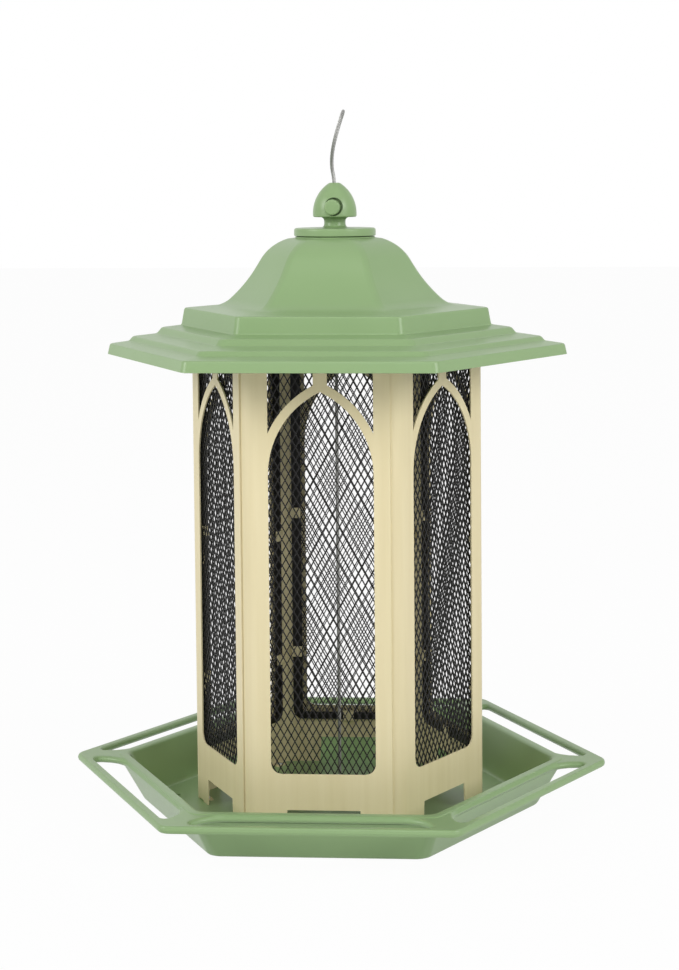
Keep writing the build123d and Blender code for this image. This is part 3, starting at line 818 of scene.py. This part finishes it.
def arch(grow, steps):
    """The pointed arch from its right springing over the tip to the left, grown by a band."""
    radius = ARCH_RADIUS + grow
    reach = math.acos(ARCH_CENTRE / radius)
    right = []
    for step in range(steps + 1):
        angle = reach * step / steps
        across = radius * math.cos(angle) - ARCH_CENTRE
        right.append(Vector((across, ARCH_SPRING + radius * math.sin(angle))))
    left = [Vector((-point.x, point.y)) for point in reversed(right[:-1])]
    return right + left


def window_outline():
    """The window: sill with rounded corners, and the arch."""
    half, corner = WINDOW_HALF, WINDOW_CORNER
    sill = [(-half, ARCH_SPRING), (-half, WINDOW_SILL), (half, WINDOW_SILL), (half, ARCH_SPRING)]
    return rounded(sill, [0, corner, corner, 0])[1:-1] + arch(0, ARCH_STEPS)


def spandrel_outline(side):
    """One spandrel, between the arch band, the bridge and the stile."""
    bridge = BRIDGE_WIDTH / 2
    radius = ARCH_RADIUS + ARCH_BAND
    band = [point for point in arch(ARCH_BAND, 2 * ARCH_STEPS) if bridge < point.x < WINDOW_HALF]
    low = ARCH_SPRING + math.sqrt(radius**2 - (WINDOW_HALF + ARCH_CENTRE) ** 2)
    high = ARCH_SPRING + math.sqrt(radius**2 - (bridge + ARCH_CENTRE) ** 2)
    top = [(bridge, high), (bridge, SPANDREL_TOP), (WINDOW_HALF, SPANDREL_TOP)]
    outline = [(WINDOW_HALF, low), *band, *top]
    return [Vector((side * point[0], point[1])) for point in outline]


def bend_edge(piece, test, centre, axis, angle, run):
    """Bends the sheet on from the edge that a test picks, and runs it on flat."""
    pick_edges(piece, test)
    bpy.ops.mesh.spin(steps=BEND_STEPS, angle=math.radians(angle), center=centre, axis=axis)
    bpy.ops.mesh.extrude_edges_move(TRANSFORM_OT_translate={"value": run})
    done()


def near(place):
    """A test for points at a place, where None leaves a coordinate free."""
    return lambda point: all(
        wanted is None or abs(value - wanted) < TOUCH for value, wanted in zip(point, place)
    )


def hem_tab(depth):
    """A tab rooted at a depth in the sheet beside the screen and folded over the screen's hem."""
    fold = SCREEN_HIGH.y + LAP_GAP + APOTHEM
    corners = [
        (0, depth),
        (SHEET, depth),
        (SHEET, fold),
        (TAB_LENGTH, fold),
        (TAB_LENGTH, fold + SHEET),
        (0, fold + SHEET),
    ]
    piece = flat_face("tab", [rounded(corners, [0, 0, 0, 0, 0, TAB_ROUND])], TAB_WIDTH, SHEET_EDGE)
    clean(piece)
    return piece


def panel_tabs():
    """The tabs on the left stile, below the sill, and on the flange behind the next panel."""
    edge = WINDOW_HALF + TAB_REACH
    upended = Matrix.Rotation(-QUARTER, 4, "Y")
    turned_round = Matrix.Rotation(2 * QUARTER, 4, "Y")
    next_panel = Matrix.Rotation(-SIXTH, 4, "Z")
    sill = Matrix.Translation((SILL_TAB, -APOTHEM, WINDOW_SILL - TAB_REACH)) @ upended
    places = [(sill, SHEET / 2)]
    for height in LEFT_TABS:
        stand = Matrix.Translation((-edge, -APOTHEM, WINDOW_SILL + height))
        places.append((stand, SHEET + LAP_GAP))
    for height in RIGHT_TABS:
        stand = Matrix.Translation((edge, -APOTHEM, WINDOW_SILL + height))
        places.append((next_panel @ stand @ turned_round, 1.5 * SHEET + LAP_GAP))
    tabs = []
    for place, depth in places:
        tabs.append(hem_tab(depth))
        tabs[-1].data.transform(place)
    return tabs


def panel_sheet():
    """The front panel: face, corner bend and flange, foot tab, and the tabs that hold screens."""
    right = BODY_SIDE / 2 - SEAM_SETBACK
    foot = NOTCH_HALF + NOTCH_FLARE
    tab_left = FOOT_TAB_CENTRE - FOOT_TAB_WIDTH / 2
    tab_right = FOOT_TAB_CENTRE + FOOT_TAB_WIDTH / 2
    tab_top = FLOOR + FOOT_BEND
    outside = [
        (-SHEET_BEND, PANEL_TOP),
        (-SHEET_BEND, FLOOR),
        (tab_left, FLOOR),
        (tab_left, tab_top),
        (tab_right, tab_top),
        (tab_right, FLOOR),
        (-foot, FLOOR),
        (-NOTCH_HALF, NOTCH_TOP),
        (NOTCH_HALF, NOTCH_TOP),
        (foot, FLOOR),
        (right, FLOOR),
        (right, PANEL_TOP),
    ]
    outlines = [outside, window_outline(), spandrel_outline(1), spandrel_outline(-1)]
    piece = flat_face("panel_sheet", outlines)
    upright = Matrix.Rotation(QUARTER, 4, "X")
    piece.data.transform(Matrix.Translation((0, -APOTHEM, 0)) @ upright)
    clean(piece)
    edit(piece)
    bpy.ops.mesh.select_all(action="SELECT")
    bpy.ops.mesh.dissolve_limited(angle_limit=FLAT_ANGLE)
    done()
    flange = FLANGE - BEND_RADIUS * TAN30
    corner_run = (-flange / 2, flange * COS30, 0)
    corner_centre = (-SHEET_BEND, BEND_RADIUS - APOTHEM, 0)
    bend_edge(piece, near((-SHEET_BEND, None, None)), corner_centre, (0, 0, 1), 60, corner_run)

    def at_foot(point):
        within = tab_left - TOUCH < point.x < tab_right + TOUCH
        return within and abs(point.z - tab_top) < TOUCH

    foot_centre = (0, FOOT_BEND - APOTHEM, tab_top)
    bend_edge(piece, at_foot, foot_centre, (1, 0, 0), -90, (0, FOOT_TAB_RUN, 0))
    clean(piece)
    modify(piece, "SOLIDIFY", thickness=SHEET, offset=-1, use_even_offset=True)
    break_edges(piece, SHEET_EDGE, angle=SHEET_BEVEL_ANGLE)
    tabs = panel_tabs()
    only(piece)
    for tab in tabs:
        tab.select_set(True)
    bpy.ops.object.join()
    smooth(piece)
    return finished(piece, CREAM)


def screen_sheet():
    """The front screen: expanded metal inside a plain folded hem."""
    half = SCREEN_HIGH.x - SCREEN_INSET - HEM_SIDE
    low = SCREEN_LOW.z + SCREEN_INSET + HEM_END
    high = SCREEN_HIGH.z - HEM_END
    columns = round(2 * half / MESH_PITCH_X)
    rows = round((high - low) / MESH_PITCH_Z)
    pitch_x = 2 * half / columns
    pitch_z = (high - low) / rows
    cells = columns + rows + 2
    piece = start(
        "screen_sheet",
        bpy.ops.mesh.primitive_grid_add,
        x_subdivisions=cells,
        y_subdivisions=cells,
        size=cells,
    )
    shape = Matrix.Diagonal((pitch_x / math.sqrt(2), pitch_z / math.sqrt(2), 1, 1))
    diagonal = Matrix.Rotation(math.radians(45), 4, "Z")
    piece.data.transform(shape @ diagonal)
    edit(piece)
    sides = [
        ((half, 0, 0), (1, 0, 0)),
        ((-half, 0, 0), (-1, 0, 0)),
        ((0, (high - low) / 2, 0), (0, 1, 0)),
        ((0, (low - high) / 2, 0), (0, -1, 0)),
    ]
    for place, normal in sides:
        bpy.ops.mesh.select_all(action="SELECT")
        bpy.ops.mesh.bisect(plane_co=place, plane_no=normal, clear_outer=True)
    bpy.ops.mesh.select_all(action="SELECT")
    bpy.ops.mesh.inset(thickness=MESH_STRAND / 2, use_individual=True, use_even_offset=True)
    bpy.ops.mesh.delete(type="FACE")
    done()
    outer = [(-1, -1), (1, -1), (1, 1), (-1, 1)]
    hem_x, hem_z = half + HEM_SIDE, (high - low) / 2 + HEM_END
    hem_corners = [(x * hem_x, z * hem_z) for x, z in outer]
    hem_outline = rounded(hem_corners, [HEM_CORNER, HEM_CORNER, 0, 0])
    opening = [(x * half, z * (high - low) / 2) for x, z in outer]
    hem = flat_face("hem", [hem_outline, opening])
    only(piece)
    hem.select_set(True)
    bpy.ops.object.join()
    upright = Matrix.Rotation(QUARTER, 4, "X")
    place = Matrix.Translation((0, SCREEN_LOW.y, (low + high) / 2))
    piece.data.transform(place @ upright)
    clean(piece)
    modify(piece, "SOLIDIFY", thickness=SCREEN_THICK, offset=-1, use_even_offset=False)
    only(piece)
    bpy.ops.object.shade_flat()
    return finished(piece, BLACK)


def six_walls():
    """The six panels and screens, each a turned copy of the front one."""
    kinds = [(panel_sheet, "enamel_panel", "panel"), (screen_sheet, "mesh_screen", "screen")]
    for make, label, node in kinds:
        front = make()
        for turn, side in enumerate(PANEL_NAMES):
            copy = turned_copy(front, f"{label}_{side}", turn)
            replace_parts(copy, f"{node}_{side}")
            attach(copy, "feeder")
        bpy.data.objects.remove(front)


def rivet_group():
    """Six rivets through the panels' foot tabs and the tray floor."""
    top = FLOOR + SHEET
    profile = [
        (0, RIVET_RECESS),
        (RIVET_HEAD, RIVET_RECESS),
        (RIVET_SHANK, RIVET_RECESS + RIVET_HEAD - RIVET_SHANK),
        (RIVET_SHANK, top),
        (RIVET_HEAD, top),
        (RIVET_HEAD - RIVET_SHOULDER[0], top + RIVET_SHOULDER[1]),
        (RIVET_SHANK, top + RIVET_HEAD_HEIGHT),
        (0, top + RIVET_HEAD_HEIGHT),
    ]
    rivets = []
    for turn in range(6):
        rivet = turned(f"rivet_{turn}", profile)
        smooth(rivet)
        spoke = Matrix.Rotation(SIXTH * turn, 4, "Z")
        rivet.data.transform(spoke @ Matrix.Translation(RIVET_PLACE))
        rivets.append(rivet)
    only(rivets[0])
    for rivet in rivets:
        rivet.select_set(True)
    bpy.ops.object.join()
    group = rivets[0]
    group.name = "rivets"
    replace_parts(group, "panel_rivets")
    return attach(finished(group, ZINC), "feeder")


def lock_piece():
    """The cap lock: spigot, disc, waist and pointed head, bored for cable and button."""
    rise = HEAD_TOP - HEAD_LOW - HEAD_SKIRT
    narrowing = HEAD_RADIUS - TIP_RADIUS
    ogive = (narrowing**2 + rise**2) / (2 * narrowing)
    side = []
    for step in range(OGIVE_STEPS + 1):
        angle = math.asin(rise / ogive) * step / OGIVE_STEPS
        radius = HEAD_RADIUS - ogive * (1 - math.cos(angle))
        side.append((radius, HEAD_LOW + HEAD_SKIRT + ogive * math.sin(angle)))
    corners = [
        (0, LOCK_LOW.z, 0),
        (SPIGOT_RADIUS, LOCK_LOW.z, SPIGOT_ROUND),
        (SPIGOT_RADIUS, CROWN + DISC_LIFT, SPIGOT_COVE),
        (DISC_RADIUS, CROWN + DISC_LIFT, DISC_FOOT_ROUND),
        (DISC_RADIUS, DISC_TOP, DISC_ROUND),
        (NECK_RADIUS, DISC_TOP, NECK_ROUND),
        (NECK_RADIUS, HEAD_LOW, NECK_ROUND),
        (HEAD_RADIUS, HEAD_LOW, HEAD_ROUND),
        (*side[0], 0),
    ]
    profile = eased_each(corners) + side[1:-1]
    profile += eased([side[-2], side[-1], (0, HEAD_TOP)], TIP_ROUND)[1:]
    piece = turned("cap_lock", profile)
    add = bpy.ops.mesh.primitive_cylinder_add
    slot = start("slot", add, radius=1, depth=LOCK_CUT, location=(0, 0, HEAD_LOW))
    slot.data.transform(Matrix.Diagonal((*LOCK_SLOT, 1, 1)))
    depth = HEAD_RADIUS + BORE_END
    bore_place = (0, BORE_END - depth / 2 - 1, BUTTON_Z)
    mouth_place = (MOUTH_OFFSET[0], -HEAD_RADIUS, BUTTON_Z + MOUTH_OFFSET[1])
    tools = [slot]
    for name, radius, length, place in (
        ("bore", BUTTON_BORE, depth + 2, bore_place),
        ("mouth", BUTTON_MOUTH, 2 * MOUTH_DEPTH, mouth_place),
    ):
        size = {"vertices": BORE_SIDES, "radius": radius, "depth": length}
        tools.append(start(name, add, location=place, rotation=(QUARTER, 0, 0), **size))
    cut(piece, "DIFFERENCE", tools)
    smooth(piece, LOCK_SHADE_ANGLE)
    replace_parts(piece, "lock_body")
    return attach(finished(piece, SAGE), "cap_lock")


def button_piece():
    """The push button: a plunger with a softly domed face and the cable's slot."""
    length = BUTTON_HIGH.y - BUTTON_LOW.y
    shoulder = length - BUTTON_CROWNING
    corners = [(0, 0), (BUTTON_RADIUS, 0), (BUTTON_RADIUS, shoulder), (0, length)]
    profile = eased(corners, BUTTON_DOME)
    piece = turned("push_button", [(point.x, point.y) for point in profile])
    facing = Matrix.Rotation(QUARTER, 4, "X")
    piece.data.transform(Matrix.Translation((0, BUTTON_HIGH.y, BUTTON_Z)) @ facing)
    add = bpy.ops.mesh.primitive_cylinder_add
    slot = start("slot", add, radius=1, depth=BUTTON_CUT, location=(0, 0, BUTTON_Z))
    place = Matrix.Translation((0, BUTTON_SLOT_Y, 0))
    slot.data.transform(place @ Matrix.Diagonal((*BUTTON_SLOT, 1, 1)))
    cut(piece, "DIFFERENCE", [slot])
    smooth(piece, LOCK_SHADE_ANGLE)
    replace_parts(piece, "lock_button")
    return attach(finished(piece, SAGE), "button")


def carried(points):
    """Each point of a line with two directions across it, carried along without a twist."""
    headings = [(after - before).normalized() for before, after in zip(points, points[1:])]
    headings.append(headings[-1])
    across = headings[0].orthogonal().normalized()
    for point, heading in zip(points, headings):
        across = (across - heading * across.dot(heading)).normalized()
        yield point, across, heading.cross(across)


def swept(points, radius, sides):
    """Vertices and faces of a tube along points, with closed ends."""
    vertices, faces = [], []
    for point, across, beside in carried(points):
        for side in range(sides):
            angle = math.tau * side / sides
            vertices.append(point + (across * math.cos(angle) + beside * math.sin(angle)) * radius)
    for ring in range(len(points) - 1):
        for side in range(sides):
            here, there = ring * sides + side, ring * sides + (side + 1) % sides
            faces.append((here, there, there + sides, here + sides))
    faces.append(tuple(reversed(range(sides))))
    faces.append(tuple(range((len(points) - 1) * sides, len(points) * sides)))
    return vertices, faces


def tube_piece(name, lines, radius, sides):
    """One piece of tubes, each along a line of points."""
    vertices, faces = [], []
    for line in lines:
        more, rings = swept(line, radius, sides)
        faces += [tuple(index + len(vertices) for index in face) for face in rings]
        vertices += more
    mesh = bpy.data.meshes.new(name)
    mesh.from_pydata(vertices, [], faces)
    piece = bpy.data.objects.new(name, mesh)
    bpy.context.collection.objects.link(piece)
    only(piece)
    bpy.ops.object.shade_smooth()
    return piece


def strand_lines(points):
    """Centre lines of a rope's core and of the strands laid round it."""
    lines = [list(points)]
    for strand in range(STRANDS):
        line = []
        last = points[0]
        run = 0.0
        for point, across, beside in carried(points):
            run += (point - last).length
            last = point
            angle = math.tau * (strand / STRANDS + run / LAY_LENGTH)
            line.append(point + (across * math.cos(angle) + beside * math.sin(angle)) * STRAND)
        lines.append(line)
    return lines


def smooth_route(route, resolution):
    """Points along the smooth curve that a list of route points controls."""
    curve = bpy.data.curves.new("route", "CURVE")
    curve.dimensions = "3D"
    curve.resolution_u = resolution
    spline = curve.splines.new("NURBS")
    spline.points.add(len(route) - 1)
    for point, place in zip(spline.points, route):
        point.co = (*place, 1)
    spline.order_u = 3
    spline.use_endpoint_u = True
    line = bpy.data.objects.new("route", curve)
    bpy.context.collection.objects.link(line)
    bpy.context.view_layer.update()
    drawn = line.evaluated_get(bpy.context.evaluated_depsgraph_get())
    mesh = bpy.data.meshes.new_from_object(drawn)
    points = [vertex.co.copy() for vertex in mesh.vertices]
    bpy.data.objects.remove(line)
    return points


def hanging_loop():
    """The loop of wire rope above the lock."""
    front, back = [], []
    for across, out, over in LOOP_ROUTE:
        aside = LOOP_SWING * (out - LEG)
        front.append(Vector((across + aside, -out, HEAD_TOP + over)))
        back.append(Vector((across - aside, out, HEAD_TOP + over)))
    points = smooth_route(front + back[::-1], ROUTE_STEPS)
    length = sum((after - before).length for before, after in zip(points, points[1:]))
    piece = tube_piece("hanging_loop", strand_lines(points), STRAND / 2, STRAND_SIDES)
    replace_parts(finished(piece, ROPE_STEEL), "cable_loop")
    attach(piece, "cap_lock")
    line = [point * MM for point in points]
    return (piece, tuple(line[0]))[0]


def cable_run(name, low, high):
    """The two straight legs of the cable between two heights."""
    count = math.ceil((high - low) / LEG_STEP)
    lines = []
    heights = [low + (high - low) * step / count for step in range(count + 1)]
    for side in (-1, 1):
        lines += strand_lines([Vector((0, side * LEG, height)) for height in heights])
    piece = tube_piece(name, lines, STRAND / 2, STRAND_SIDES)
    return finished(piece, ROPE_STEEL)


def inner_cable():
    """The legs: a lower run in the hopper and an upper run in the lock, split below the crown."""
    lower = cable_run("cable_in_hopper", LEGS_LOW.z, CABLE_SPLIT)
    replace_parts(lower, "cable_legs")
    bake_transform(lower)
    upper = cable_run("cable_in_lock", CABLE_SPLIT, LEGS_HIGH.z)
    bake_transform(upper)


def anchor_pieces():
    """The washer and the crimped stop, under the hub."""
    low, high = in_mm("cable_washer")
    across = (CABLE_HOLE, high.x, high.x, CABLE_HOLE)
    washer = turned("cable_washer_disc", list(zip(across, (low.z, low.z, high.z, high.z))))
    break_edges(washer, WASHER_EDGE)
    smooth(washer)
    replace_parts(finished(washer, ZINC), "cable_washer")
    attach(washer, "feeder")
    low, high = in_mm("cable_stop")
    add = bpy.ops.mesh.primitive_cylinder_add
    stop = start("cable_stop_sleeve", add, vertices=BORE_SIDES, radius=1, depth=2)
    stop.data.transform(
        Matrix.Translation((low + high) / 2)
        @ Matrix.Diagonal((high.x, high.y, (high.z - low.z) / 2, 1))
    )
    break_edges(stop, STOP_EDGE, segments=3)
    smooth(stop)
    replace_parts(finished(stop, ZINC), "cable_stop")
    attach(stop, "feeder")


def spring_piece():
    """The button's coil spring."""
    radius = SPRING_HIGH.x - SPRING_WIRE / 2
    first = SPRING_LOW.y + SPRING_WIRE / 2
    climb = SPRING_HIGH.y - SPRING_LOW.y - SPRING_WIRE
    steps = SPRING_TURNS * SPRING_STEPS
    points = []
    for step in range(steps + 1):
        angle = math.tau * step / SPRING_STEPS
        across, up = radius * math.cos(angle), radius * math.sin(angle)
        points.append(Vector((across, first + climb * step / steps, BUTTON_Z + up)))
    piece = tube_piece("button_spring", [points], SPRING_WIRE / 2, SPRING_SIDES)
    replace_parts(finished(piece, SPRING_STEEL), "lock_spring")
    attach(piece, "cap_lock")
    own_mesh(piece)


def sees_backdrop(tree):
    """1 for rays from the camera or mirrored to it, which see the backdrop as white."""
    rays = add_node(tree, "ShaderNodeLightPath", {}, {}).outputs
    seen = rays["Is Camera Ray"]
    for kind in ("Is Glossy Ray", "Is Transmission Ray"):
        larger = {"operation": "MAXIMUM"}
        seen = add_node(tree, "ShaderNodeMath", larger, {0: seen, 1: rays[kind]}).outputs["Value"]
    return seen


def studio():
    """Pale floor, white surround, soft lamps, and the camera at the photograph's angle."""
    floor_paint = bpy.data.materials.new("pale_floor")
    floor_paint.use_nodes = True
    tree = floor_paint.node_tree
    shader = tree.nodes["Principled BSDF"]
    shader.inputs["Base Color"].default_value = srgb("#EDEDED")
    shader.inputs["Roughness"].default_value = 0.9
    white = add_node(tree, "ShaderNodeEmission", {"Color": WHITE, "Strength": 1.0}, {})
    share = add_node(
        tree, "ShaderNodeMath", {"operation": "MULTIPLY", 1: FLOOR_WHITE}, {0: sees_backdrop(tree)}
    )
    mixed = add_node(
        tree,
        "ShaderNodeMixShader",
        {},
        {"Fac": share.outputs["Value"], 1: shader.outputs["BSDF"], 2: white.outputs["Emission"]},
    )
    tree.links.new(mixed.outputs["Shader"], tree.nodes["Material Output"].inputs["Surface"])
    add = bpy.ops.mesh.primitive_plane_add
    floor = start("floor", add, size=FLOOR_SIZE, location=(0, 0, -FLOOR_DROP))
    floor.data.materials.append(floor_paint)

    world = bpy.data.worlds.new("white_surround")
    bpy.context.scene.world = world
    world.use_nodes = True
    tree = world.node_tree
    level = add_node(
        tree,
        "ShaderNodeMapRange",
        {"To Min": SURROUND_LIGHT, "To Max": 1.0},
        {"Value": sees_backdrop(tree)},
    )
    tree.links.new(level.outputs["Result"], tree.nodes["Background"].inputs["Strength"])
    tree.nodes["Background"].inputs["Color"].default_value = WHITE

    for name, place, size, power in LAMPS:
        lamp = bpy.data.lights.new(name, "AREA")
        lamp.size = size
        lamp.energy = power
        holder = bpy.data.objects.new(name, lamp)
        holder.location = place
        holder.rotation_euler = (LAMP_AIM - Vector(place)).to_track_quat("-Z", "Y").to_euler()
        bpy.context.collection.objects.link(holder)

    camera = bpy.data.cameras.new("camera")
    camera.lens = CAMERA_LENS
    camera.shift_x, camera.shift_y = CAMERA_SHIFT
    holder = bpy.data.objects.new("camera", camera)
    holder.location = CAMERA_PLACE
    holder.rotation_euler = [math.radians(angle) for angle in CAMERA_TURN]
    bpy.context.collection.objects.link(holder)
    bpy.context.scene.camera = holder
    bpy.context.scene.view_settings.view_transform = "Standard"


roof_piece()
tray_piece()
six_walls()
rivet_group()
lock_piece()
button_piece()
spring_piece()
anchor_pieces()
inner_cable()
hanging_loop()
studio()
